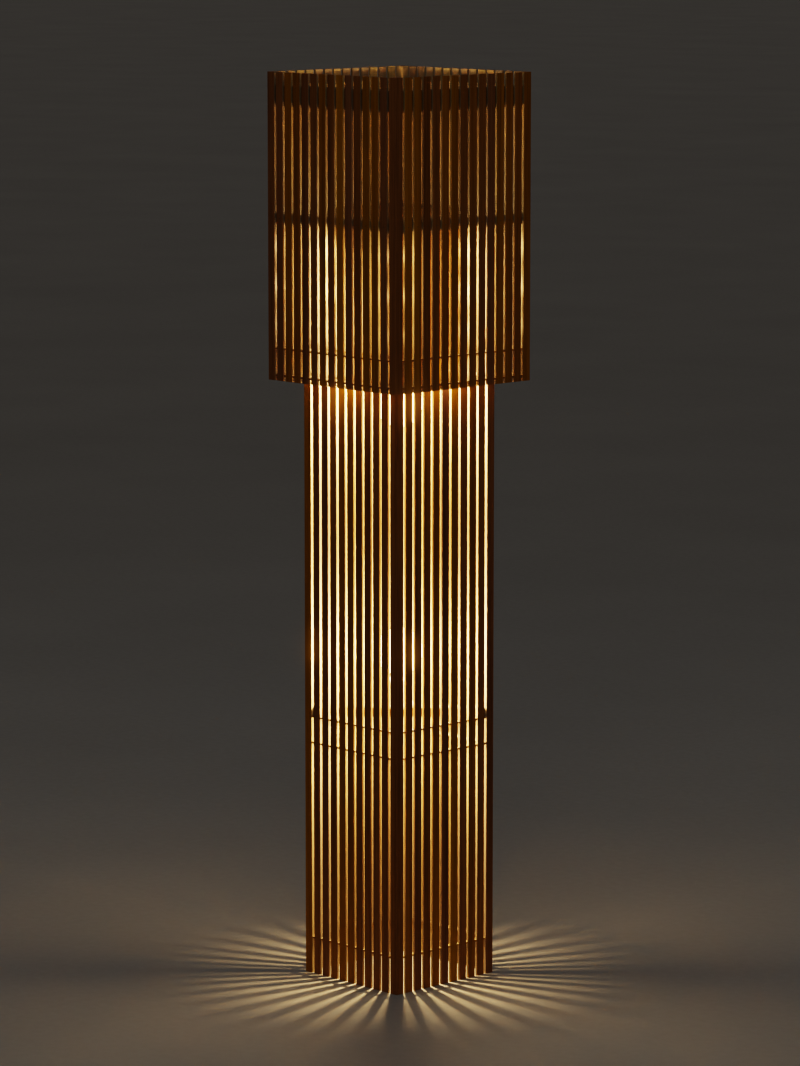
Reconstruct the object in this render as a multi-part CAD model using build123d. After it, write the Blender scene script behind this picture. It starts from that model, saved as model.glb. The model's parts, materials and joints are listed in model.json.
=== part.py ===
"""Slatted floor lamp: a square column of upright wooden slats that carries a wider slatted shade.

Millimetres, +Z up. The origin is on the floor, under the middle of the column.
Front is -Y, right is +X, back is +Y and left is -X.
"""

from build123d import *
import math
import os

# Overall heights
TOTAL_HEIGHT = 1535.0
SHADE_BOTTOM = 1020.0
COLUMN_TOP = 1283.0

# Slats and corner posts, the same stock in the column and in the shade
SLAT_WIDTH = 16.0
SLAT_DEPTH = 4.5
SLAT_GAP = 5.0
POST_WIDTH = 16.0
COLUMN_SLATS = 9
SHADE_SLATS = 13
JOINT_CLEARANCE = 0.1

# Laths: thin level strips that are halved over every slat and tenoned into the posts
LATH_HEIGHT = 3.0
LATH_SETBACK = 1.0
LATH_DEPTH = 8.0
HALVING_DEPTH = 1.5
LATH_TENON = 3.0
LATH_PAIR_SPACING = 45.0
FOOT_LATH_Z = 62.0
WAIST_LATH_Z = 401.0
NECK_LATH_Z = 1029.0

# Rails that fill the depth of the posts behind the slats: at the head of the column and of the shade
RAIL_TENON = 6.0
RAIL_TENON_THICKNESS = 4.0
RAIL_TENON_SHOULDER = 2.0
HEAD_RAIL_HEIGHT = 40.0
TOP_RAIL_HEIGHT = 35.0
SLAT_TIP_ABOVE_RAIL = 22.0

# The shelf in the shade that rests on the head of the column, and the cleats that centre it
SHELF_THICKNESS = 18.0
CLEAT_WIDTH = 10.0
CLEAT_HEIGHT = 20.0
CLEAT_CLEARANCE = 0.5
CLEAT_SCREW_SPACING = 110.0

# Countersunk wood screws
SCREW_SHANK = 3.5
SCREW_HEAD = 7.0
CLEAT_SCREW_LENGTH = 30.0
BAR_SCREW_LENGTH = 25.0
HOLDER_SCREW_LENGTH = 12.0

# Lamp bars, from corner post to corner post
BAR_WIDTH = 30.0
BAR_THICKNESS = 15.0
BAR_END_CLEARANCE = 0.2
TOE_ANGLE = 30.0
TOE_START = 14.0
TOE_SINK = 6.4
POCKET_CLEARANCE = 0.25
CABLE_HOLE = 8.0
SIDE_CABLE_HOLE_OFFSET = 50.0

# Lampholders, measured up from the face of the bar that they are screwed to
HOLDER_DIAMETER = 42.0
HOLDER_HEIGHT = 48.0
FLANGE_DIAMETER = 58.0
FLANGE_THICKNESS = 5.5
HOLDER_SCREW_RADIUS = 25.0
SHELL_FLOOR = 15.0
SHELL_LENGTH = 30.0
SHELL_WALL = 0.6
CONTACT_FLOOR = 10.0
CONTACT_WELL = 20.0
CONTACT_DIAMETER = 10.0
CONTACT_PLATE = 0.8
CONTACT_BUTTON_DIAMETER = 6.0
CONTACT_BUTTON_HEIGHT = 2.0

# Lamps: a medium screw cap and a round globe
CAP_DIAMETER = 26.0
CAP_RUNNING_CLEARANCE = 0.1
CAP_WALL = 0.6
CAP_TOP = 44.0
CAP_SHOULDER = 17.5
CAP_FLOOR = 20.0
CAP_TIP_DIAMETER = 9.0
CAP_NECK_DIAMETER = 22.0
TIP_GAP = 0.3
GLOBE_DIAMETER = 80.0
GLOBE_CENTRE = 95.0
GLASS_NECK_DIAMETER = 24.4
GLASS_NECK_START = 24.0
GLASS_THROAT_RADIUS = 12.0
GLASS_WALL = 1.0
STEM_DIAMETER = 8.0
STEM_TOP = 62.0
STEM_FLARE_THICKNESS = 2.0
LEAD_DIAMETER = 1.2
LEAD_SPREAD = 5.0
FILAMENT_HEIGHT = 84.0
FILAMENT_DIAMETER = 2.0

# Worked out from the sizes above
PITCH = SLAT_WIDTH + SLAT_GAP
COLUMN_SIDE = 2 * POST_WIDTH + COLUMN_SLATS * PITCH + SLAT_GAP
SHADE_SIDE = 2 * POST_WIDTH + SHADE_SLATS * PITCH + SLAT_GAP
RAIL_THICKNESS = POST_WIDTH - SLAT_DEPTH
TOP_RAIL_BOTTOM = TOTAL_HEIGHT - SLAT_TIP_ABOVE_RAIL - TOP_RAIL_HEIGHT
CLEAT_OUTER = COLUMN_SIDE / 2 - POST_WIDTH - CLEAT_CLEARANCE
SHELF_HOLE = 2 * (CLEAT_OUTER - CLEAT_WIDTH)
SHELL_BORE = CAP_DIAMETER / 2 + CAP_RUNNING_CLEARANCE
CONTACT_TOP = CONTACT_FLOOR + CONTACT_BUTTON_HEIGHT
FOOT_LEVELS = (FOOT_LATH_Z,)
WAIST_LEVELS = (WAIST_LATH_Z, WAIST_LATH_Z + LATH_PAIR_SPACING)
NECK_LEVELS = (NECK_LATH_Z, NECK_LATH_Z + LATH_PAIR_SPACING)
COLUMN_LEVELS = FOOT_LEVELS + WAIST_LEVELS + NECK_LEVELS
SIDES = ("front", "right", "back", "left")


def write(name, pieces):
    """Writes one node as one file, each piece in it a solid of its own."""
    solids = [solid for piece in pieces for solid in piece.solids()]
    export_step(Compound(children=solids), f"parts/{name}.step")


def block(x_low, x_high, y_low, y_high, z_low, z_high):
    size = (x_high - x_low, y_high - y_low, z_high - z_low)
    centre = ((x_low + x_high) / 2, (y_low + y_high) / 2, (z_low + z_high) / 2)
    return Pos(*centre) * Box(*size)


def on_side(piece, side):
    """Turns a piece that is built on the front onto another side of the square."""
    return Rot(0, 0, 90 * SIDES.index(side)) * piece


def all_round(piece):
    return [on_side(piece, side) for side in SIDES]


def revolved(points):
    """Turns a closed outline, given as pairs of radius and height, about the Z axis."""
    corners = [(radius, 0, height) for radius, height in points]
    return revolve(make_face(Polyline(*corners, corners[0])), Axis.Z)


def wood_screw(length):
    """A countersunk screw with the top of its head at the origin, pointing up."""
    head = SCREW_HEAD / 2
    shank = SCREW_SHANK / 2
    sink = head - shank
    outline = [(0, 0), (head, 0), (shank, sink), (shank, length - 2 * shank), (0, length)]
    return revolved(outline)


# Slats, laths, rails and posts
def side_slats(side_length, slats, z_low, z_high, levels):
    """The slats of the front, each notched from behind where a lath crosses it."""
    face = -side_length / 2
    half_width = SLAT_WIDTH / 2
    slat = block(-half_width, half_width, face, face + SLAT_DEPTH, z_low, z_high)
    notch_front = face + LATH_SETBACK + HALVING_DEPTH
    notch_back = face + 2 * SLAT_DEPTH
    half_height = LATH_HEIGHT / 2 + JOINT_CLEARANCE
    for level in levels:
        z_range = (level - half_height, level + half_height)
        slat -= block(-SLAT_WIDTH, SLAT_WIDTH, notch_front, notch_back, *z_range)
    middle = (slats - 1) / 2
    return [Pos((index - middle) * PITCH, 0, 0) * slat for index in range(slats)]


def lath_outline(side_length, slats):
    """A lath of the front in plan: a strip behind the halvings and a tooth in each gap."""
    strip_front = -side_length / 2 + LATH_SETBACK + HALVING_DEPTH
    strip_depth = LATH_DEPTH - HALVING_DEPTH
    half_span = side_length / 2 - POST_WIDTH
    strip = Rectangle(2 * (half_span + LATH_TENON), strip_depth)
    tooth = Rectangle(SLAT_GAP - 2 * JOINT_CLEARANCE, HALVING_DEPTH)
    first_gap = -half_span + SLAT_GAP / 2
    y_tooth = strip_front - HALVING_DEPTH / 2
    teeth = [Pos(first_gap + gap * PITCH, y_tooth) * tooth for gap in range(slats + 1)]
    return Pos(0, strip_front + strip_depth / 2) * strip + teeth


def laths(side_length, slats, levels):
    outline = lath_outline(side_length, slats)
    lath = extrude(outline, LATH_HEIGHT)
    placed = [Pos(0, 0, level - LATH_HEIGHT / 2) * lath for level in levels]
    return [turned for one in placed for turned in all_round(one)]


def lath_mortise(side_length, level):
    """The slots at both ends of a lath of the front, as one long cutting block."""
    reach = side_length / 2 - POST_WIDTH + LATH_TENON + JOINT_CLEARANCE
    front = -side_length / 2 + LATH_SETBACK + HALVING_DEPTH - JOINT_CLEARANCE
    back = -side_length / 2 + LATH_SETBACK + LATH_DEPTH + JOINT_CLEARANCE
    half_height = LATH_HEIGHT / 2 + JOINT_CLEARANCE
    return block(-reach, reach, front, back, level - half_height, level + half_height)


def rail_tenons(side_length, z_low, height, upper, clearance):
    """The tenons at both ends of a rail of the front, as one long block."""
    reach = side_length / 2 - POST_WIDTH + RAIL_TENON + clearance
    middle = -side_length / 2 + SLAT_DEPTH + RAIL_THICKNESS / 2
    half_thickness = RAIL_TENON_THICKNESS / 2 + clearance
    z_start = z_low + (height / 2 if upper else RAIL_TENON_SHOULDER)
    z_end = z_start + height / 2 - RAIL_TENON_SHOULDER
    y_range = (middle - half_thickness, middle + half_thickness)
    return block(-reach, reach, *y_range, z_start - clearance, z_end + clearance)


def rail(side_length, z_low, height, upper):
    half_span = side_length / 2 - POST_WIDTH
    front = -side_length / 2 + SLAT_DEPTH
    bar = block(-half_span, half_span, front, front + RAIL_THICKNESS, z_low, z_low + height)
    return bar + rail_tenons(side_length, z_low, height, upper, 0)


def is_upper(side):
    """Front and back rails have the upper tenons, so that none meet inside a post."""
    return side in ("front", "back")


def rails(side_length, z_low, height):
    return [on_side(rail(side_length, z_low, height, is_upper(side)), side) for side in SIDES]


def rail_mortises(side_length, z_low, height):
    size = (side_length, z_low, height)
    return [on_side(rail_tenons(*size, is_upper(side), JOINT_CLEARANCE), side) for side in SIDES]


def corner_posts(side_length, z_low, z_high, cuts):
    outer = side_length / 2
    inner = outer - POST_WIDTH
    post = block(inner, outer, -outer, -inner, z_low, z_high)
    return [turned - cuts for turned in all_round(post)]


def lath_mortises(side_length, levels):
    cuts = [lath_mortise(side_length, level) for level in levels]
    return [turned for cut in cuts for turned in all_round(cut)]


# Lamp bars
def toe_screw_planes(bar_top):
    """The two places where a bar is screwed to its posts, each with the screw's direction."""
    arris = math.hypot(COLUMN_SIDE / 2 - POST_WIDTH, COLUMN_SIDE / 2 - POST_WIDTH)
    level = math.cos(math.radians(TOE_ANGLE))
    drop = math.sin(math.radians(TOE_ANGLE))
    planes = []
    for sign in (-1, 1):
        along = sign / math.sqrt(2)
        radius = arris - TOE_START + TOE_SINK * level
        origin = (along * radius, along * radius, bar_top - TOE_SINK * drop)
        planes.append(Plane(origin=origin, z_dir=(along * level, along * level, -drop)))
    return planes


def bar_screws(bar_top):
    return [plane.location * wood_screw(BAR_SCREW_LENGTH) for plane in toe_screw_planes(bar_top)]


def bar_pockets(bar_top):
    """The slanting holes that let each screw head in below the face of the bar."""
    pocket = Cylinder(SCREW_HEAD / 2 + POCKET_CLEARANCE, BAR_THICKNESS)
    sunk = Pos(0, 0, -BAR_THICKNESS / 2) * pocket
    return [plane.location * sunk for plane in toe_screw_planes(bar_top)]


def lamp_bar(bar_bottom, screws):
    """A bar from corner to corner, forked round the posts so that it bears on the laths."""
    reach = COLUMN_SIDE / 2 - SLAT_DEPTH - BAR_END_CLEARANCE
    post_face = COLUMN_SIDE / 2 - POST_WIDTH - JOINT_CLEARANCE
    outline = Rot(0, 0, 45) * Rectangle(4 * reach, BAR_WIDTH)
    outline &= Rectangle(2 * reach, 2 * reach)
    for sign in (-1, 1):
        centre = sign * (post_face + POST_WIDTH / 2)
        outline -= Pos(centre, centre) * Rectangle(POST_WIDTH, POST_WIDTH)
    bar = Pos(0, 0, bar_bottom) * extrude(outline, BAR_THICKNESS)
    hole = Pos(0, 0, bar_bottom) * Cylinder(CABLE_HOLE / 2, 3 * BAR_THICKNESS)
    offset = SIDE_CABLE_HOLE_OFFSET / math.sqrt(2)
    cuts = [hole, Pos(offset, offset, 0) * hole]
    return bar - (cuts + bar_pockets(bar_bottom + BAR_THICKNESS) + screws)


# Lampholders and lamps, each built upright on the face of its bar
def holder_screws():
    head_top = Pos(0, 0, FLANGE_THICKNESS) * Rot(180, 0, 0) * wood_screw(HOLDER_SCREW_LENGTH)
    offset = HOLDER_SCREW_RADIUS / math.sqrt(2)
    return [Pos(sign * offset, sign * offset, 0) * head_top for sign in (-1, 1)]


def holder_body():
    outer = HOLDER_DIAMETER / 2
    bore = SHELL_BORE + SHELL_WALL + JOINT_CLEARANCE
    outline = [
        (CABLE_HOLE / 2, 0),
        (FLANGE_DIAMETER / 2, 0),
        (FLANGE_DIAMETER / 2, FLANGE_THICKNESS),
        (outer, FLANGE_THICKNESS),
        (outer, HOLDER_HEIGHT),
        (bore, HOLDER_HEIGHT),
        (bore, SHELL_FLOOR),
        (CONTACT_WELL / 2, SHELL_FLOOR),
        (CONTACT_WELL / 2, CONTACT_FLOOR),
        (CABLE_HOLE / 2, CONTACT_FLOOR),
    ]
    return revolved(outline) - holder_screws()


def holder_shell():
    """The threaded sleeve of a holder, as a plain sleeve with a turned-in foot."""
    outer = SHELL_BORE + SHELL_WALL
    foot_top = SHELL_FLOOR + SHELL_WALL
    top = SHELL_FLOOR + SHELL_LENGTH
    outline = [
        (CONTACT_WELL / 2, SHELL_FLOOR),
        (outer, SHELL_FLOOR),
        (outer, top),
        (SHELL_BORE, top),
        (SHELL_BORE, foot_top),
        (CONTACT_WELL / 2, foot_top),
    ]
    return revolved(outline)


def holder_contact():
    plate_top = CONTACT_FLOOR + CONTACT_PLATE
    outline = [
        (0, CONTACT_FLOOR),
        (CONTACT_DIAMETER / 2, CONTACT_FLOOR),
        (CONTACT_DIAMETER / 2, plate_top),
        (CONTACT_BUTTON_DIAMETER / 2, plate_top),
        (CONTACT_BUTTON_DIAMETER / 2, CONTACT_TOP),
        (0, CONTACT_TOP),
    ]
    return revolved(outline)


def bulb_cap():
    """The screw cap: a cone to the tip contact and a thin sleeve round the glass."""
    outer = CAP_DIAMETER / 2
    tip = CONTACT_TOP + TIP_GAP
    outline = [
        (0, tip),
        (CAP_TIP_DIAMETER / 2, tip),
        (CAP_NECK_DIAMETER / 2, CAP_SHOULDER),
        (outer, CAP_FLOOR),
        (outer, CAP_TOP),
        (outer - CAP_WALL, CAP_TOP),
        (outer - CAP_WALL, CAP_FLOOR),
        (0, CAP_FLOOR),
    ]
    return revolved(outline)


def bulb_solid(inset, z_start):
    """The glass as a full body, drawn in by the inset: a neck, a hollow throat and the globe."""
    neck = GLASS_NECK_DIAMETER / 2
    globe = GLOBE_DIAMETER / 2
    throat_x = neck + GLASS_THROAT_RADIUS
    centre_distance = globe + GLASS_THROAT_RADIUS
    throat_z = GLOBE_CENTRE - math.sqrt(centre_distance**2 - throat_x**2)
    turn = math.atan2(GLOBE_CENTRE - throat_z, throat_x)
    throat = GLASS_THROAT_RADIUS + inset

    def on_throat(angle):
        return (throat_x - throat * math.cos(angle), 0, throat_z + throat * math.sin(angle))

    def on_globe(angle):
        radius = globe - inset
        return (radius * math.cos(angle), 0, GLOBE_CENTRE + radius * math.sin(angle))

    foot = (neck - inset, 0, z_start)
    top = on_globe(math.pi / 2)
    outline = [
        Line((0, 0, z_start), foot),
        Line(foot, on_throat(0)),
        ThreePointArc(on_throat(0), on_throat(turn / 2), on_throat(turn)),
        ThreePointArc(on_throat(turn), on_globe(0), top),
        Line(top, (0, 0, z_start)),
    ]
    return revolve(make_face(outline), Axis.Z)


def bulb_glass():
    return bulb_solid(0, GLASS_NECK_START) - bulb_solid(GLASS_WALL, GLASS_NECK_START - GLASS_WALL)


def bulb_stem():
    """The flared glass foot that closes the neck, the lead wires and the filament."""
    flare = GLASS_NECK_DIAMETER / 2 - GLASS_WALL - JOINT_CLEARANCE
    flare_top = GLASS_NECK_START + STEM_FLARE_THICKNESS
    outline = [
        (0, GLASS_NECK_START),
        (flare, GLASS_NECK_START),
        (flare, flare_top),
        (STEM_DIAMETER / 2, flare_top + flare),
        (STEM_DIAMETER / 2, STEM_TOP),
        (0, STEM_TOP),
    ]
    stem = revolved(outline)
    for sign in (-1, 1):
        foot = (0, 0, STEM_TOP - STEM_DIAMETER / 2)
        end = (sign * LEAD_SPREAD * 2, 0, FILAMENT_HEIGHT)
        way = Vector(*end) - Vector(*foot)
        wire = extrude(Plane(origin=foot, z_dir=way) * Circle(LEAD_DIAMETER / 2), way.length)
        stem += wire
    coil = Cylinder(FILAMENT_DIAMETER / 2, 4 * LEAD_SPREAD)
    return stem + Pos(0, 0, FILAMENT_HEIGHT) * Rot(0, 90, 0) * coil


def build_column():
    head_bottom = COLUMN_TOP - HEAD_RAIL_HEIGHT
    bar_bottoms = [max(levels) + LATH_HEIGHT / 2 for levels in (WAIST_LEVELS, NECK_LEVELS)]
    screws = [bar_screws(bottom + BAR_THICKNESS) for bottom in bar_bottoms]
    mortises = lath_mortises(COLUMN_SIDE, COLUMN_LEVELS)
    mortises += rail_mortises(COLUMN_SIDE, head_bottom, HEAD_RAIL_HEIGHT)
    all_screws = [screw for pair in screws for screw in pair]
    write("column_posts", corner_posts(COLUMN_SIDE, 0, COLUMN_TOP, mortises + all_screws))
    slats = side_slats(COLUMN_SIDE, COLUMN_SLATS, 0, COLUMN_TOP, COLUMN_LEVELS)
    for side in SIDES:
        write(f"column_slats_{side}", [on_side(slat, side) for slat in slats])
    write("column_foot_laths", laths(COLUMN_SIDE, COLUMN_SLATS, FOOT_LEVELS))
    write("column_waist_laths", laths(COLUMN_SIDE, COLUMN_SLATS, WAIST_LEVELS))
    write("column_neck_laths", laths(COLUMN_SIDE, COLUMN_SLATS, NECK_LEVELS))
    write("column_head_rails", rails(COLUMN_SIDE, head_bottom, HEAD_RAIL_HEIGHT))
    write("bar_screws", all_screws)
    build_lamps(bar_bottoms, screws)


def build_lamps(bar_bottoms, toe_screws):
    """Two bars and three lamps: one on the lower bar, one under and one on the upper bar."""
    lower_bottom, upper_bottom = bar_bottoms
    lower_top = lower_bottom + BAR_THICKNESS
    upper_top = upper_bottom + BAR_THICKNESS
    places = {
        "lower": Pos(0, 0, lower_top),
        "neck": Pos(0, 0, upper_bottom) * Rot(180, 0, 90),
        "shade": Pos(0, 0, upper_top),
    }
    fixings = {name: [place * screw for screw in holder_screws()] for name, place in places.items()}
    lower_cuts = toe_screws[0] + fixings["lower"]
    upper_cuts = toe_screws[1] + fixings["neck"] + fixings["shade"]
    write("lower_lamp_bar", [lamp_bar(lower_bottom, lower_cuts)])
    write("upper_lamp_bar", [lamp_bar(upper_bottom, upper_cuts)])
    write("holder_screws", [screw for screws in fixings.values() for screw in screws])
    write("lampholder_bodies", [place * holder_body() for place in places.values()])
    write("lampholder_shells", [place * holder_shell() for place in places.values()])
    write("lampholder_contacts", [place * holder_contact() for place in places.values()])
    for name, place in places.items():
        write(f"{name}_bulb_cap", [place * bulb_cap()])
        write(f"{name}_bulb_glass", [place * bulb_glass()])
        write(f"{name}_bulb_stem", [place * bulb_stem()])


def build_shade():
    mortises = lath_mortises(SHADE_SIDE, NECK_LEVELS)
    mortises += rail_mortises(SHADE_SIDE, TOP_RAIL_BOTTOM, TOP_RAIL_HEIGHT)
    write("shade_posts", corner_posts(SHADE_SIDE, SHADE_BOTTOM, TOTAL_HEIGHT, mortises))
    slats = side_slats(SHADE_SIDE, SHADE_SLATS, SHADE_BOTTOM, TOTAL_HEIGHT, NECK_LEVELS)
    for side in SIDES:
        write(f"shade_slats_{side}", [on_side(slat, side) for slat in slats])
    write("shade_hem_laths", laths(SHADE_SIDE, SHADE_SLATS, NECK_LEVELS))
    write("shade_top_rails", rails(SHADE_SIDE, TOP_RAIL_BOTTOM, TOP_RAIL_HEIGHT))


def build_shelf():
    """Two long boards notched round the posts, two short ones, and a cleat under each."""
    outer = SHADE_SIDE / 2 - SLAT_DEPTH
    notch = SHADE_SIDE / 2 - POST_WIDTH
    inner = SHELF_HOLE / 2
    z_range = (COLUMN_TOP, COLUMN_TOP + SHELF_THICKNESS)
    long_board = block(-outer, outer, -outer, -inner, *z_range)
    for x_range in ((-outer, -notch), (notch, outer)):
        long_board -= block(*x_range, -outer, -notch, *z_range)
    short_board = block(inner, outer, -inner, inner, *z_range)
    cleat_bottom = COLUMN_TOP - CLEAT_HEIGHT
    half_length = inner - CLEAT_CLEARANCE
    cleat = block(-half_length, half_length, -CLEAT_OUTER, -inner, cleat_bottom, COLUMN_TOP)
    screw = Pos(0, -CLEAT_OUTER + CLEAT_WIDTH / 2, cleat_bottom) * wood_screw(CLEAT_SCREW_LENGTH)
    pair = [Pos(sign * CLEAT_SCREW_SPACING / 2, 0, 0) * screw for sign in (-1, 1)]
    screws = [turned for one in pair for turned in all_round(one)]
    half_turn = Rot(0, 0, 180)
    write("shelf_long_boards", [board - screws for board in (long_board, half_turn * long_board)])
    write("shelf_short_boards", [board - screws for board in (short_board, half_turn * short_board)])
    write("shelf_cleats", all_round(cleat - pair))
    write("cleat_screws", screws)


os.makedirs("parts", exist_ok=True)
build_column()
build_shade()
build_shelf()
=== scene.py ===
import json
import math

import bpy
from mathutils import Matrix, Vector


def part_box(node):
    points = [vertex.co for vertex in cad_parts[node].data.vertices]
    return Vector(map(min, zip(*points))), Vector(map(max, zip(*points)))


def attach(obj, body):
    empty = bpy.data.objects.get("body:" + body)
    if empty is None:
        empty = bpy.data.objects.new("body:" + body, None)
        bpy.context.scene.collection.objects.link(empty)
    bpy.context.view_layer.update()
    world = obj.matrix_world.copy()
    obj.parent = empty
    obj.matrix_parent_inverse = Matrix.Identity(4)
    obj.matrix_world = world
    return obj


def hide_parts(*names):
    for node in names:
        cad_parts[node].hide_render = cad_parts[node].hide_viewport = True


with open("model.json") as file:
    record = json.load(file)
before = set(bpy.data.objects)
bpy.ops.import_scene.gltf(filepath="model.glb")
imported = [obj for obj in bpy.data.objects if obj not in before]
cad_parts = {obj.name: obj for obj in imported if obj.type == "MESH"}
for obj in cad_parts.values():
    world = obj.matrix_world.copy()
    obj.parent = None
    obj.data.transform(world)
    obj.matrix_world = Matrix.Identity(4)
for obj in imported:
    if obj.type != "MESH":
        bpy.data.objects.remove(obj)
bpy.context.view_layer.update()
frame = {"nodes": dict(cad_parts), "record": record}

# Everything is in metres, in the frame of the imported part: +Z up, the floor at 0.

# Camera: turned round the lamp by its azimuth and down by its pitch; the lamp's axis is a little off the middle
CAMERA_AZIMUTH = math.radians(46.5)
CAMERA_PITCH = math.radians(8.68)
CAMERA_DISTANCE = 7.324
CAMERA_HEIGHT = 1.878
CAMERA_REACH = 200.0
FOCAL_PIXELS = 4391.0
PICTURE_HEIGHT = 1066.0
AXIS_OFFSET_PIXELS = 0.84
SENSOR = 36.0

# Slatted work
SIDES = ("front", "right", "back", "left")
COLUMN_SLATS = 9
SHADE_SLATS = 13
COLUMN_SEED = 11
SHADE_SEED = 29
TONE_SEED_STEP = 7.0
SLAT_WIDTH = 0.016
SLAT_DEPTH = 0.0045
SLAT_GAP = 0.005
SLAT_PITCH = SLAT_WIDTH + SLAT_GAP
POST_WIDTH = 0.016
EDGE_EASE = 0.0005
EASE_POINTS = 2
WELD_DISTANCE = 0.00001
SLAT_WANDER = 0.00015
SLAT_SHORT = 0.0006
BRAD_SHANK = 0.0010
BRAD_LENGTH = 0.0125
BRAD_HEAD = 0.0018
BRAD_HEAD_THICKNESS = 0.0005
BRAD_PROUD = 0.0002
SHANK_SIDES = 8
HEAD_SIDES = 14
HEADS_IN = -1.0
HEADS_OUT = 1.0

# Wood: stained outside. The faces that look inwards, at their neighbours and at the lamps, are paler: bare wood
# with painted lamplight on it, and on the shelf painted shade instead. Colours run from deep to pale.
STAIN = ((0.135, 0.047, 0.0025), (0.28, 0.110, 0.008), (0.40, 0.178, 0.022))
CEDAR = ((0.16, 0.085, 0.04), (0.30, 0.17, 0.085), (0.42, 0.27, 0.15))
SHELF_EDGE = ((0.20, 0.11, 0.05), (0.30, 0.17, 0.08), (0.40, 0.25, 0.12))
# Painted lamplight: bare wood made paler for the faces that look inwards, where the lamps light them
LAMPLIT_BARE_WOOD = ((0.29, 0.20, 0.095), (0.40, 0.29, 0.15))
# Painted shade: the dark colour of the shelf's inward faces, which hides the glow the lamps put on its edge
SHELF_PAINTED_SHADE = ((0.020, 0.010, 0.004), (0.045, 0.025, 0.010))

# The shelf and what it lies on get painted shade on their inward faces, so that no bright edge shows through
# the slits
SHELF_SLOT = "shelf_wood"
SHELF_NODES = ("shelf_long_boards", "shelf_short_boards", "shelf_cleats", "column_head_rails")

# Figure of the wood: scales of its patterns, which change slowly along the grain
WOOD_ROUGHNESS = 0.53
WOOD_SPECULAR = 0.12
WOOD_RELIEF = 0.00025
GRAIN_STRETCH = 0.022
FIGURE_SCALE = 55.0
GRAIN_SCALE = 420.0
PORE_SCALE = 1500.0
WEAR_SCALE = 70.0
RING_SCALE = 700.0
SMEAR_SCALE = 22.0
LEVEL_STEPS = 43.0

# Metals: clean colour, tarnished colour, roughness
ZINC = ((0.62, 0.61, 0.58), (0.35, 0.33, 0.29), 0.32)
BLUED_STEEL = ((0.12, 0.11, 0.10), (0.05, 0.045, 0.04), 0.45)
BRASS = ((0.72, 0.50, 0.22), (0.40, 0.26, 0.10), 0.30)
ALUMINIUM = ((0.75, 0.75, 0.74), (0.45, 0.44, 0.42), 0.28)
TARNISH_SCALE = 160.0
SCRATCH_SCALE = 900.0
SCRATCH_LENGTH = 4.0

# Porcelain, glass and plaster
GLAZE = ((0.80, 0.78, 0.72), (0.72, 0.69, 0.62))
GLAZE_SPECK = (0.35, 0.28, 0.20)
FROSTED = (0.85, 0.80, 0.72)
CLEAR = (0.90, 0.90, 0.88)
GLOBE_GLOW = ((0.75, 0.30, 0.08), (1.0, 0.66, 0.34))
GLOW_STARTS = 0.010
GLOW_FULL = 0.030
BULB_GLOW = 16.0
PLASTER = ((0.24, 0.232, 0.22), (0.30, 0.29, 0.275))
FLOOR_REACH = 60.0

# Light of the lamps: each is a ball just outside its glass
LAMP_COLOUR = (1.0, 0.80, 0.52)
LAMP_SKIN = 0.0015
LAMP_WATTS = {"lower": 12.5, "neck": 9.5, "shade": 2.4}
FOOT_COLOUR = (1.0, 0.66, 0.30)
FOOT_SPOT = {
    "watts": 18.0,
    "radius": 0.010,
    "height": 0.300,
    "turn": (0, 0, 0),
    "angle": 116.0,
    "blend": 0.6,
}

# Hazes: soft balls that stand for the light that the wood throws about. Those of the column are on its axis.
COLUMN_HAZES = {
    "lower_haze": {"watts": 7.0, "radius": 0.085, "height": 0.575},
    "under_bar_haze": {"watts": 6.4, "radius": 0.020, "height": 0.392},
    "neck_haze": {"watts": 9.2, "radius": 0.088, "height": 0.9805},
    "foot_haze": {"watts": 0.10, "radius": 0.030, "height": 0.150},
    "shade_haze": {"watts": 14.5, "radius": 0.088, "height": 1.130},
}
GAP_HAZE_RADIUS = 0.016
GAP_HAZE_WATTS = {1.115: 0.28, 1.180: 0.66, 1.245: 0.66}
GAP_HAZE_CORNER_SHARE = 0.15
HEM_HAZE = {"watts": 0.20, "radius": GAP_HAZE_RADIUS, "height": 1.050}
SHELF_HAZE = {"watts": 0.21, "radius": 0.014, "height": 1.318}
SHELF_HAZE_FROM_AXIS = 0.090
OPENING_SPOT = {
    "watts": 1.8,
    "radius": 0.01,
    "height": 1.300,
    "turn": (math.pi, 0, 0),
    "angle": 78.0,
    "blend": 0.15,
}

# Studio
STUDIO_COLOUR = (0.92, 0.96, 1.0)
STUDIO_HEIGHT = 4.2
STUDIO_SIZE = 4.0
STUDIO_WATTS = 10.0
FILL_WATTS = 8.0
FILL_SIZE = 2.5
FILL_DISTANCE = 4.0
FILL_HEIGHT = 2.6
FILL_AIM_HEIGHT = 0.9
AIR_COLOUR = (1.0, 0.95, 0.90)
AIR_STRENGTH = 0.125
BLOOM_THRESHOLD = 6.0
BLOOM_STRENGTH = 1.0
BLOOM_SIZE = 0.06
BLOOM_TINT = (1.0, 0.76, 0.30)


class Socket:
    """An output of a node. Arithmetic on it adds the Math node that does it."""

    def __init__(self, graph, made, key=0):
        self.graph = graph
        self.made = made
        self.output = made.outputs[key]

    def __getitem__(self, key):
        return Socket(self.graph, self.made, key)

    def __add__(self, other):
        return self.graph.math("ADD", self, other)

    def __radd__(self, other):
        return self.graph.math("ADD", other, self)

    def __sub__(self, other):
        return self.graph.math("SUBTRACT", self, other)

    def __rsub__(self, other):
        return self.graph.math("SUBTRACT", other, self)

    def __mul__(self, other):
        return self.graph.math("MULTIPLY", self, other)

    def __truediv__(self, other):
        return self.graph.math("DIVIDE", self, other)

    def __gt__(self, other):
        return self.graph.math("GREATER_THAN", self, other)

    def __lt__(self, other):
        return self.graph.math("LESS_THAN", self, other)

    def __abs__(self):
        return self.graph.math("ABSOLUTE", self)


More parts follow.
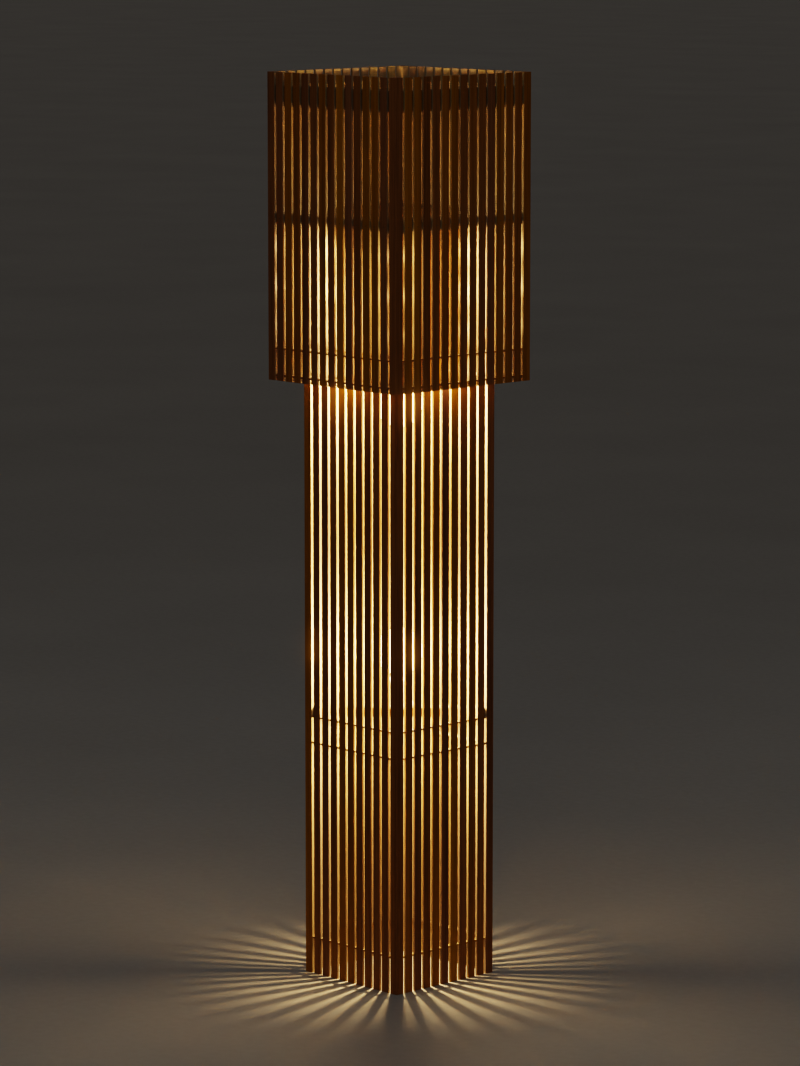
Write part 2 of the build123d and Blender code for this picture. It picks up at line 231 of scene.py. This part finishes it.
class Graph:
    """A node tree that is written as Python expressions."""

    def __init__(self, tree):
        self.tree = tree

    def node(self, kind, settings=None, sockets=None, output=0):
        """Adds a node: its settings first, then the value or the link of each socket."""
        made = self.tree.nodes.new(kind)
        for name, value in (settings or {}).items():
            if name == "stops":
                self.set_stops(made.color_ramp, value)
            else:
                setattr(made, name, value)
        for key, value in (sockets or {}).items():
            self.feed(made.inputs[key], value)
        return Socket(self, made, output) if made.outputs else None

    def set_stops(self, ramp, stops):
        """The colours of a ramp, each with its position."""
        while len(ramp.elements) < len(stops):
            ramp.elements.new(1.0)
        for element, (position, colour) in zip(ramp.elements, stops):
            element.position = position
            element.color = (*colour, 1.0)

    def feed(self, socket, value):
        """Links one socket or several to an input, or sets its value."""
        links = value if isinstance(value, list) else [value]
        for one in links:
            if isinstance(one, Socket):
                self.tree.links.new(one.output, socket)
            else:
                socket.default_value = one

    def math(self, operation, *terms):
        return self.node("ShaderNodeMath", {"operation": operation}, dict(enumerate(terms)))

    def vector_math(self, operation, *terms):
        return self.node("ShaderNodeVectorMath", {"operation": operation}, dict(enumerate(terms)))

    def vector(self, x, y, z):
        return self.node("ShaderNodeCombineXYZ", {}, {0: x, 1: y, 2: z})

    def smooth_step(self, value, low, high):
        """From 0 below low to 1 above high."""
        settings = {"interpolation_type": "SMOOTHSTEP"}
        return self.node("ShaderNodeMapRange", settings, {0: value, 1: low, 2: high})

    def mix_colour(self, factor, first, second):
        sockets = {0: factor, 6: opaque(first), 7: opaque(second)}
        return self.node("ShaderNodeMix", {"data_type": "RGBA"}, sockets, 2)


def opaque(colour):
    """A plain colour with its alpha; a link passes through as it is."""
    return (*colour, 1.0) if isinstance(colour, tuple) and len(colour) == 3 else colour


# Materials
class Finish(Graph):
    """A procedural material, with the patterns that several finishes share."""

    def __init__(self, name):
        self.material = bpy.data.materials.new(name)
        self.material.use_nodes = True
        self.material.node_tree.nodes.clear()
        super().__init__(self.material.node_tree)
        self.place = self.node("ShaderNodeTexCoord")["Object"]
        split = self.node("ShaderNodeSeparateXYZ", {}, {0: self.place})
        self.x, self.y, self.z = split["X"], split["Y"], split["Z"]

    def noise(self, vector, scale, detail=3.0, roughness=0.5, distortion=0.0):
        sockets = {
            "Vector": vector,
            "Scale": scale,
            "Detail": detail,
            "Roughness": roughness,
            "Distortion": distortion,
        }
        return self.node("ShaderNodeTexNoise", {}, sockets)

    def bump(self, height, distance, strength):
        sockets = {"Height": height, "Distance": distance, "Strength": strength}
        return self.node("ShaderNodeBump", {}, sockets)

    def surface(self, **sockets):
        """Ends the tree in a Principled shader; names are its sockets, with _ for a space."""
        named = {name.replace("_", " "): value for name, value in sockets.items()}
        if isinstance(named.get("Base Color"), tuple):
            named["Base Color"] = opaque(named["Base Color"])
        shader = self.node("ShaderNodeBsdfPrincipled", {}, named)
        self.node("ShaderNodeOutputMaterial", {}, {"Surface": shader})
        return self.material


def level_space(finish):
    """For pieces that lie level round the square: across, up, and along the piece."""
    runs_along_x = abs(finish.y) > abs(finish.x)
    runs_along_y = 1.0 - runs_along_x
    along = finish.x * runs_along_x + finish.y * runs_along_y
    across = finish.y * runs_along_x + finish.x * runs_along_y
    return across, finish.z, along


def piece_tone(finish, level):
    """A number from 0 to 1 for each piece: stored on the grown ones, and by place for the level ones."""
    if not level:
        return finish.node("ShaderNodeAttribute", {"attribute_name": "tone"})["Fac"]
    runs_along_x = abs(finish.y) > abs(finish.x)
    across, up, _ = level_space(finish)
    piece = finish.vector(up * LEVEL_STEPS, (across > 0.0) * 3.0, runs_along_x * 7.0)
    steps = finish.vector_math("FLOOR", piece)
    return finish.node("ShaderNodeTexWhiteNoise", {}, {"Vector": steps})


def faces_inwards(finish, normal):
    """1 where a face looks at the axis or at its neighbour, 0 where it looks outwards."""
    turned = finish.node("ShaderNodeSeparateXYZ", {}, {0: normal})
    sideways = abs(finish.x) > abs(finish.y)
    out_x = turned["X"] * finish.math("SIGN", finish.x) * sideways
    out_y = turned["Y"] * finish.math("SIGN", finish.y) * (1.0 - sideways)
    return 1.0 - finish.smooth_step(out_x + out_y, 0.1, 0.6)


def wood(name, deep, mid, pale, painted_inside=LAMPLIT_BARE_WOOD, level=False):
    """Stained, oiled wood: long grain, pores, worn edges, dark end grain, a tone for each piece. Faces that
    look inwards take the inward colours: by default painted lamplight on bare wood; for the shelf, painted
    shade.
    """
    finish = Finish(name)
    across, up, along = level_space(finish) if level else (finish.x, finish.y, finish.z)
    tone = piece_tone(finish, level)
    shifted = finish.vector(across + tone * 3.1, up + tone * 1.7, along * GRAIN_STRETCH + tone * 9.0)
    figure = finish.noise(shifted, FIGURE_SCALE, 4.0, 0.55, 0.6)
    grain = finish.noise(shifted, GRAIN_SCALE, 5.0, 0.62, 0.2)
    pores = finish.noise(shifted, PORE_SCALE, 2.0, 0.5)
    pore_mask = finish.smooth_step(pores, 0.60, 0.72)
    streak = figure * 0.55 + grain * 0.45
    stops = [(0.30, deep), (0.50, mid), (0.72, pale)]
    stained = finish.node("ShaderNodeValToRGB", {"stops": stops}, {"Fac": streak})
    stained = finish.mix_colour(pore_mask * 0.55, stained, deep)

    normal = finish.node("ShaderNodeNewGeometry")["True Normal"]
    inside = faces_inwards(finish, normal)
    # Painted light and shade: faces that look inwards take the inward colours, paler bare wood standing for
    # lamplight on most pieces and dark painted shade on the shelf
    inward_paint = finish.mix_colour(finish.smooth_step(streak, 0.35, 0.65), *painted_inside)
    colour = finish.mix_colour(inside, stained, inward_paint)

    facing = finish.node("ShaderNodeSeparateXYZ", {}, {0: finish.vector_math("ABSOLUTE", normal)})
    flattest = finish.math("MAXIMUM", finish.math("MAXIMUM", facing["X"], facing["Y"]), facing["Z"])
    wear = finish.noise(shifted, WEAR_SCALE, 3.0)
    worn = (flattest < 0.985) * finish.smooth_step(wear, 0.45, 0.60)
    colour = finish.mix_colour(worn * 0.25, colour, pale)
    if not level:
        rings = finish.noise(finish.place, RING_SCALE, 2.0, 0.5, 1.5)
        end_colour = finish.mix_colour(rings, deep, mid)
        colour = finish.mix_colour(facing["Z"] > 0.9, colour, end_colour)
    variation = {"Hue": 0.490 + tone * 0.016, "Saturation": 0.90 + tone * 0.2, "Value": 0.78 + tone * 0.44}
    colour = finish.node("ShaderNodeHueSaturation", {}, {**variation, "Color": colour})

    smear = finish.noise(shifted, SMEAR_SCALE, 3.0)
    relief = (grain * 0.6 - pore_mask * 0.5 + figure * 0.25) * (1.0 - inside * 0.8)
    return finish.surface(
        Base_Color=colour,
        Roughness=WOOD_ROUGHNESS + smear * 0.10 + pore_mask * 0.10,
        Normal=finish.bump(relief, WOOD_RELIEF, 0.6),
        Specular_IOR_Level=WOOD_SPECULAR,
    )


def metal(name, clean, tarnished, roughness):
    """Drawn or rolled metal with fine scratches and a little tarnish."""
    finish = Finish(name)
    tarnish = finish.noise(finish.place, TARNISH_SCALE, 4.0, 0.6)
    drawn_out = finish.vector(finish.x * SCRATCH_LENGTH, finish.y * SCRATCH_LENGTH, finish.z)
    scratches = finish.noise(drawn_out, SCRATCH_SCALE, 3.0)
    colour = finish.mix_colour(finish.smooth_step(tarnish, 0.48, 0.72), clean, tarnished)
    return finish.surface(
        Base_Color=colour,
        Metallic=1.0,
        Roughness=roughness - 0.08 + tarnish * 0.22,
        Normal=finish.bump(scratches, 0.00005, 0.5),
    )


def porcelain(name):
    """White glazed porcelain with faint specks and a slight wave in the glaze."""
    finish = Finish(name)
    specks = finish.smooth_step(finish.noise(finish.place, 1400.0, 1.0), 0.70, 0.78)
    cloud = finish.noise(finish.place, 30.0, 3.0)
    colour = finish.mix_colour(cloud, *GLAZE)
    colour = finish.mix_colour(specks * 0.5, colour, GLAZE_SPECK)
    wave = finish.noise(finish.place, 90.0, 2.0)
    return finish.surface(
        Base_Color=colour,
        Roughness=0.10 + cloud * 0.12,
        Normal=finish.bump(wave, 0.0002, 0.3),
        Coat_Weight=0.4,
        Coat_Roughness=0.05,
    )


def lit_glass(name):
    """Frosted glass of a burning lamp: brightest round the globe, dimmer mottled towards the neck."""
    finish = Finish(name)
    frost = finish.noise(finish.place, 500.0, 2.0)
    cloud = finish.noise(finish.place, 45.0, 2.0)
    radius = finish.math("SQRT", finish.x * finish.x + finish.y * finish.y)
    bright = finish.smooth_step(radius, GLOW_STARTS, GLOW_FULL) * 0.7 + 0.3
    glow = finish.mix_colour(bright * (0.86 + cloud * 0.2), *GLOBE_GLOW)
    return finish.surface(
        Base_Color=FROSTED,
        Roughness=0.35 + frost * 0.2,
        Normal=finish.bump(frost, 0.00005, 0.4),
        Emission_Color=glow,
        Emission_Strength=BULB_GLOW,
    )


def clear_glass(name):
    """Clear glass with a few seeds in it."""
    finish = Finish(name)
    seeds = finish.noise(finish.place, 300.0, 2.0)
    return finish.surface(
        Base_Color=CLEAR,
        Roughness=0.08 + seeds * 0.08,
        Normal=finish.bump(seeds, 0.0001, 0.3),
        Transmission_Weight=0.8,
    )


def pale_floor(name):
    """Pale honed plaster, plain, with a faint cloudiness."""
    finish = Finish(name)
    cloud = finish.noise(finish.place, 1.3, 4.0, 0.55)
    fine = finish.noise(finish.place, 60.0, 3.0)
    colour = finish.mix_colour(cloud, *PLASTER)
    return finish.surface(
        Base_Color=colour,
        Roughness=0.55 + fine * 0.2,
        Normal=finish.bump(fine, 0.0003, 0.3),
    )


# Slatted work and its brads: what repeats round the square is made by node trees
def new_tree(name, kinds):
    """An empty node tree with its inputs; returns it as a graph, with the inputs as sockets."""
    tree = bpy.data.node_groups.new(name, "GeometryNodeTree")
    graph = Graph(tree)
    for given, kind in kinds.items():
        tree.interface.new_socket(given, in_out="INPUT", socket_type="NodeSocket" + kind)
    tree.interface.new_socket("Geometry", in_out="OUTPUT", socket_type="NodeSocketGeometry")
    return graph, graph.node("NodeGroupInput")


def along_a_side(graph, index, count, pitch):
    """The turn of the side that a point belongs to, and its distance from the middle of that side."""
    side = graph.math("FLOOR", (index + 0.5) / count)
    number = index - side * count
    return graph.vector(0.0, 0.0, side * (math.pi / 2)), (number - (count - 1.0) * 0.5) * pitch


def put_round(graph, count, piece, place, turn, scale=(1.0, 1.0, 1.0)):
    """Instances of one piece, each placed on the front side and turned to its own."""
    line = graph.node("GeometryNodeMeshLine", {}, {"Count": count * float(len(SIDES))})
    turned = graph.node(
        "ShaderNodeVectorRotate", {"rotation_type": "EULER_XYZ"}, {"Vector": place, "Rotation": turn}
    )
    points = graph.node("GeometryNodeSetPosition", {}, {"Geometry": line, "Position": turned})
    rotation = graph.node("FunctionNodeEulerToRotation", {}, {0: turn})
    stand = {"Points": points, "Instance": piece, "Rotation": rotation, "Scale": scale}
    return graph.node("GeometryNodeInstanceOnPoints", {}, stand)


def end_tree(graph, instances, finish):
    """Makes the instances real and gives them their finish."""
    real = graph.node("GeometryNodeRealizeInstances", {}, {"Geometry": instances})
    dressed = graph.node("GeometryNodeSetMaterial", {}, {"Geometry": real, "Material": finish})
    graph.node("NodeGroupOutput", {}, {"Geometry": dressed})
    return graph.tree


def slatted_square_tree():
    """Upright eased bars along the four sides of a square, each with a tone of its own."""
    kinds = {
        "Side": "Float",
        "Count": "Int",
        "Pitch": "Float",
        "Shift": "Float",
        "Width": "Float",
        "Depth": "Float",
        "Foot": "Float",
        "Length": "Float",
        "Ease": "Float",
        "Wander": "Float",
        "Short": "Float",
        "Seed": "Int",
        "Finish": "Material",
    }
    graph, given = new_tree("slatted_square", kinds)
    section = {"Width": given["Width"], "Height": given["Depth"]}
    outline = graph.node("GeometryNodeCurvePrimitiveQuadrilateral", {}, section)
    easing = {"Curve": outline, "Count": EASE_POINTS, "Radius": given["Ease"]}
    eased = graph.node("GeometryNodeFilletCurve", {"mode": "POLY"}, easing)
    foot = graph.node("GeometryNodeFillCurve", {"mode": "NGONS"}, {"Curve": eased})
    rise = graph.vector(0.0, 0.0, given["Length"])
    drawn_up = {"Mesh": foot, "Offset": rise, "Offset Scale": 1.0, "Individual": False}
    body = graph.node("GeometryNodeExtrudeMesh", {}, drawn_up)
    sole = graph.node("GeometryNodeFlipFaces", {}, {"Mesh": foot})
    closed = graph.node("GeometryNodeJoinGeometry", {}, {0: [body, sole]})
    bar = graph.node("GeometryNodeMergeByDistance", {}, {"Geometry": closed, "Distance": WELD_DISTANCE})

    index = graph.node("GeometryNodeInputIndex")
    turn, along = along_a_side(graph, index, given["Count"], given["Pitch"])
    drift = graph.node(
        "FunctionNodeRandomValue",
        {"data_type": "FLOAT_VECTOR"},
        {0: (-1.0, 0.0, 0.0), 1: (1.0, 1.0, 1.0), "ID": index, "Seed": given["Seed"]},
    )
    drifts = graph.node("ShaderNodeSeparateXYZ", {}, {0: drift})
    along = along + given["Shift"] + drifts["X"] * given["Wander"]
    outward = (given["Depth"] - given["Side"]) * 0.5 + drifts["Y"] * given["Wander"]
    place = graph.vector(along, outward, given["Foot"])
    scale = graph.vector(1.0, 1.0, 1.0 - drifts["Z"] * given["Short"])
    bars = put_round(graph, given["Count"], bar, place, turn, scale)
    tone = graph.node(
        "FunctionNodeRandomValue",
        {"data_type": "FLOAT"},
        {2: 0.0, 3: 1.0, "ID": index, "Seed": given["Seed"] + TONE_SEED_STEP},
        1,
    )
    toned = graph.node(
        "GeometryNodeStoreNamedAttribute",
        {"data_type": "FLOAT", "domain": "INSTANCE"},
        {"Geometry": bars, "Name": "tone", "Value": tone},
    )
    return end_tree(graph, toned, given["Finish"])


def hung_cylinder(graph, sides, diameter, length):
    """A cylinder with its top at the origin."""
    size = {"Vertices": sides, "Radius": diameter / 2, "Depth": length}
    cylinder = graph.node("GeometryNodeMeshCylinder", {}, size)
    lowered = {"Geometry": cylinder, "Translation": (0.0, 0.0, -length / 2)}
    return graph.node("GeometryNodeTransform", {}, lowered)


def nailed_square_tree():
    """Brads across the four sides of a square, one for each slat, with their heads inwards or outwards."""
    kinds = {
        "Count": "Int",
        "Pitch": "Float",
        "Face": "Float",
        "Level": "Float",
        "Way": "Float",
        "Finish": "Material",
    }
    graph, given = new_tree("nailed_square", kinds)
    shank = hung_cylinder(graph, SHANK_SIDES, BRAD_SHANK, BRAD_LENGTH)
    head = hung_cylinder(graph, HEAD_SIDES, BRAD_HEAD, BRAD_HEAD_THICKNESS)
    upright = graph.node("GeometryNodeJoinGeometry", {}, {0: [shank, head]})
    tilt = {"Geometry": upright, "Rotation": graph.vector(given["Way"] * (math.pi / 2), 0.0, 0.0)}
    brad = graph.node("GeometryNodeTransform", {}, tilt)
    index = graph.node("GeometryNodeInputIndex")
    turn, along = along_a_side(graph, index, given["Count"], given["Pitch"])
    place = graph.vector(along, 0.0 - given["Face"], given["Level"])
    brads = put_round(graph, given["Count"], brad, place, turn)
    return end_tree(graph, brads, given["Finish"])


def grown(name, tree, **sizes):
    """Runs a node tree once and returns its result as a plain mesh object at the origin."""
    holder = bpy.data.objects.new(name + "_source", bpy.data.meshes.new(name + "_source"))
    bpy.context.scene.collection.objects.link(holder)
    modifier = holder.modifiers.new("nodes", "NODES")
    modifier.node_group = tree
    sockets = {item.name: item.identifier for item in tree.interface.items_tree if item.in_out == "INPUT"}
    for size, value in sizes.items():
        modifier[sockets[size]] = value
    bpy.context.view_layer.update()
    evaluated = holder.evaluated_get(bpy.context.evaluated_depsgraph_get())
    mesh = bpy.data.meshes.new_from_object(evaluated)
    bpy.data.objects.remove(holder)
    piece = bpy.data.objects.new(name, mesh)
    bpy.context.scene.collection.objects.link(piece)
    return piece


def dress_slatted_work(finish):
    """Eased slats and posts in the places of the plain ones of the column and of the shade."""
    tree = slatted_square_tree()
    for body, count, seed in (("column", COLUMN_SLATS, COLUMN_SEED), ("shade", SHADE_SLATS, SHADE_SEED)):
        low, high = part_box(body + "_posts")
        side = high.x - low.x
        common = {
            "Side": side,
            "Foot": low.z,
            "Length": high.z - low.z,
            "Ease": EDGE_EASE,
            "Seed": seed,
            "Finish": finish,
        }
        slats = grown(
            body + "_eased_slats",
            tree,
            Count=count,
            Pitch=SLAT_PITCH,
            Width=SLAT_WIDTH,
            Depth=SLAT_DEPTH,
            Wander=SLAT_WANDER,
            Short=SLAT_SHORT,
            **common,
        )
        posts = grown(
            body + "_eased_posts",
            tree,
            Count=1,
            Shift=(side - POST_WIDTH) / 2,
            Width=POST_WIDTH,
            Depth=POST_WIDTH,
            **common,
        )
        settle(slats, body)
        settle(posts, body)
        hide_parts(*[f"{body}_slats_{name}" for name in SIDES])
        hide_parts(body + "_posts")


def mid_height(node):
    """The height of a CAD node's middle."""
    low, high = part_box(node)
    return (low.z + high.z) / 2


def nail_the_slats(finish):
    """Brads through the rails into the slats, and through the slats of the shade into the shelf."""
    tree = nailed_square_tree()
    column_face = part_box("column_posts")[1].x - POST_WIDTH - BRAD_PROUD
    shade_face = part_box("shade_posts")[1].x
    rail_face = shade_face - POST_WIDTH - BRAD_PROUD
    below_cleats = (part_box("column_head_rails")[0].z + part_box("shelf_cleats")[0].z) / 2
    rows = (
        ("column_rail_brads", "column", COLUMN_SLATS, column_face, below_cleats, HEADS_IN),
        ("shade_rail_brads", "shade", SHADE_SLATS, rail_face, mid_height("shade_top_rails"), HEADS_IN),
        ("shelf_brads", "shade", SHADE_SLATS, shade_face, mid_height("shelf_long_boards"), HEADS_OUT),
    )
    for name, body, count, face, level, way in rows:
        sizes = {"Count": count, "Pitch": SLAT_PITCH, "Face": face, "Level": level, "Way": way}
        settle(grown(name, tree, Finish=finish, **sizes), body)


def settle(piece, body):
    """Puts a grown piece on its body."""
    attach(piece, body)


def make_finishes():
    """A finish for each material slot, and one more for the shelf, with painted shade on its inward faces."""
    return {
        "slat_wood": wood("slat_walnut", *STAIN),
        "lath_wood": wood("lath_walnut", *STAIN, level=True),
        "rail_wood": wood("rail_walnut", *STAIN, level=True),
        "inner_wood": wood("inner_cedar", *CEDAR, level=True),
        # The shelf's finish: painted shade on its inward faces
        SHELF_SLOT: wood("shelf_walnut", *SHELF_EDGE, painted_inside=SHELF_PAINTED_SHADE, level=True),
        "screw_steel": metal("zinc_plate", *ZINC),
        "porcelain": porcelain("white_porcelain"),
        "holder_brass": metal("drawn_brass", *BRASS),
        "cap_metal": metal("rolled_aluminium", *ALUMINIUM),
        "bulb_glass": lit_glass("frosted_lit_glass"),
        "stem_glass": clear_glass("stem_glass"),
    }


def dress_nodes(finishes):
    """Gives every CAD node that stays in view the finish of its slot; the shelf and what it lies on get the
    shelf's finish, with painted shade on their inward faces.
    """
    for part in frame["record"]["subparts"]:
        node = frame["nodes"][part["node"]]
        slot = SHELF_SLOT if part["node"] in SHELF_NODES else part["material_slot"]
        node.data.materials.clear()
        node.data.materials.append(finishes[slot])


# Stage, light and camera
def add_object(name, data, place=(0, 0, 0), turn=(0, 0, 0)):
    """Puts a mesh, a light or a camera in the scene."""
    made = bpy.data.objects.new(name, data)
    made.location = place
    made.rotation_euler = turn
    bpy.context.scene.collection.objects.link(made)
    return made


def make_floor(finish):
    mesh = bpy.data.meshes.new("floor")
    corners = [(-1, -1, 0), (1, -1, 0), (1, 1, 0), (-1, 1, 0)]
    mesh.from_pydata([Vector(corner) * FLOOR_REACH for corner in corners], [], [(0, 1, 2, 3)])
    mesh.materials.append(finish)
    floor = add_object("floor", mesh)
    return floor


def towards_camera():
    """The level direction from the axis to the camera."""
    return Vector((math.sin(CAMERA_AZIMUTH), -math.cos(CAMERA_AZIMUTH), 0))


def make_camera():
    data = bpy.data.cameras.new("camera")
    data.sensor_width = SENSOR
    data.lens = FOCAL_PIXELS / PICTURE_HEIGHT * SENSOR
    data.shift_x = AXIS_OFFSET_PIXELS / PICTURE_HEIGHT
    data.clip_end = CAMERA_REACH
    place = towards_camera() * CAMERA_DISTANCE + Vector((0, 0, CAMERA_HEIGHT))
    turn = (math.pi / 2 - CAMERA_PITCH, 0, CAMERA_AZIMUTH)
    bpy.context.scene.camera = add_object("camera", data, place, turn)


def make_light(name, kind, watts, radius, place, turn=(0, 0, 0)):
    """A light in the colour of the lamps, with soft edges to its shadows."""
    light = bpy.data.lights.new(name, kind)
    light.energy = watts
    light.color = LAMP_COLOUR
    light.shadow_soft_size = radius
    light.use_soft_falloff = False
    return add_object(name, light, place, turn)


def make_ball(name, watts, radius, height, x=0.0, y=0.0):
    """A ball that shines all round."""
    return make_light(name, "POINT", watts, radius, (x, y, height))


def make_spot(name, watts, radius, height, turn, angle, blend):
    """Light of a lamp that comes through an opening as a cone."""
    spot = make_light(name, "SPOT", watts, radius, (0, 0, height), turn)
    spot.data.spot_size = math.radians(angle)
    spot.data.spot_blend = blend
    return spot


def reach_only(lights, things):
    """Limits what the lights fall on; everything still casts its shadow."""
    lit = bpy.data.collections.new("lit")
    for thing in things:
        lit.objects.link(thing)
    for light in lights:
        light.light_linking.receiver_collection = lit


def make_lamp_lights():
    """The light of the three lamps, from round their glass, which glows by itself."""
    lamps = []
    for name, watts in LAMP_WATTS.items():
        low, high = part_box(name + "_bulb_glass")
        radius = (high.x - low.x) / 2
        hangs = name == "neck"
        centre = low.z + radius if hangs else high.z - radius
        lamps.append(make_ball(name + "_light", watts, radius + LAMP_SKIN, centre))
    return lamps


def four_round(name, x, y, **haze):
    """The same ball of light once for each side of the square."""
    balls = []
    for quarter in range(len(SIDES)):
        place = Vector((x, y))
        place.rotate(Matrix.Rotation(quarter * math.pi / 2, 2))
        balls.append(make_ball(name, x=place.x, y=place.y, **haze))
    return balls


def middle_of_the_gap():
    """From the axis to half way between the column and the shade."""
    return (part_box("shade_posts")[1].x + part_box("column_posts")[1].x) / 2


def make_shade_hazes():
    """Light inside the shade: at the sides and corners round the column's head, on the shelf, under the rim."""
    hazes = []
    gap = middle_of_the_gap()
    for height, watts in GAP_HAZE_WATTS.items():
        for x, share in ((0.0, 1.0), (gap, GAP_HAZE_CORNER_SHARE)):
            ball = {"watts": watts * share, "radius": GAP_HAZE_RADIUS, "height": height}
            hazes += four_round("gap_haze", x, gap, **ball)
    hazes += four_round("shelf_haze", 0.0, SHELF_HAZE_FROM_AXIS, **SHELF_HAZE)
    return [*hazes, make_spot("shelf_opening_light", **OPENING_SPOT)]


def named(things, *starts):
    """The things whose names start in one of these ways."""
    return [thing for thing in things if thing.name.startswith(starts)]


def light_the_lamp(floor):
    """The lamps light all but their glasses and the shade's wood. The hazes light only the wood round them."""
    pieces = [thing for thing in bpy.context.scene.objects if thing.type == "MESH"]
    glasses = [frame["nodes"][name + "_bulb_glass"] for name in LAMP_WATTS]
    column = named(pieces, "column_")
    held_in_the_shade = named(pieces, "shade_bulb", "shade_lamp")
    shade = [thing for thing in named(pieces, "shade_", "shelf_") if thing not in held_in_the_shade]
    reach_only(make_lamp_lights(), [thing for thing in pieces if thing not in glasses + shade])

    column_hazes = [make_ball(name, **haze) for name, haze in COLUMN_HAZES.items()]
    shade_hazes = make_shade_hazes()
    hem_hazes = four_round("hem_haze", 0.0, middle_of_the_gap(), **HEM_HAZE)
    for haze in column_hazes + shade_hazes + hem_hazes:
        haze.visible_camera = False
        haze.visible_glossy = False
    reach_only(column_hazes, column)
    reach_only(shade_hazes, shade)
    reach_only(hem_hazes, column + shade)

    foot = make_spot("foot_light", **FOOT_SPOT)
    foot.data.color = FOOT_COLOUR
    reach_only([foot], [floor])


def make_soft_box(name, watts, size, place, aim):
    """A square of cool studio light that faces what it is aimed at."""
    data = bpy.data.lights.new(name, "AREA")
    data.energy = watts
    data.size = size
    data.color = STUDIO_COLOUR
    turn = (Vector(aim) - Vector(place)).to_track_quat("-Z", "Y").to_euler()
    add_object(name, data, place, turn)


def make_air():
    """The even, dim light from all round."""
    world = bpy.data.worlds.new("air")
    world.use_nodes = True
    background = world.node_tree.nodes["Background"]
    background.inputs["Color"].default_value = (*AIR_COLOUR, 1.0)
    background.inputs["Strength"].default_value = AIR_STRENGTH
    bpy.context.scene.world = world


def make_bloom():
    """A slight glow round what is brightest, as a lens gives it."""
    scene = bpy.context.scene
    scene.use_nodes = True
    scene.node_tree.nodes.clear()
    graph = Graph(scene.node_tree)
    picture = graph.node("CompositorNodeRLayers")
    sockets = {
        "Image": picture,
        "Threshold": BLOOM_THRESHOLD,
        "Strength": BLOOM_STRENGTH,
        "Size": BLOOM_SIZE,
        "Tint": opaque(BLOOM_TINT),
    }
    glow = graph.node("CompositorNodeGlare", {"glare_type": "BLOOM"}, sockets)
    graph.node("CompositorNodeComposite", {}, {"Image": glow})


def light_the_room():
    """One soft box overhead, one behind the camera, and the air."""
    make_soft_box("overhead", STUDIO_WATTS, STUDIO_SIZE, (0, 0, STUDIO_HEIGHT), (0, 0, 0))
    front = towards_camera() * FILL_DISTANCE + Vector((0, 0, FILL_HEIGHT))
    make_soft_box("fill", FILL_WATTS, FILL_SIZE, front, (0, 0, FILL_AIM_HEIGHT))
    make_air()


make_camera()
light_the_room()
bpy.context.scene.view_settings.view_transform = "Filmic"
bpy.context.scene.view_settings.look = "High Contrast"
floor = make_floor(pale_floor("floor_plaster"))
finishes = make_finishes()
dress_nodes(finishes)
dress_slatted_work(finishes["slat_wood"])
nail_the_slats(metal("blued_steel", *BLUED_STEEL))
light_the_lamp(floor)
make_bloom()
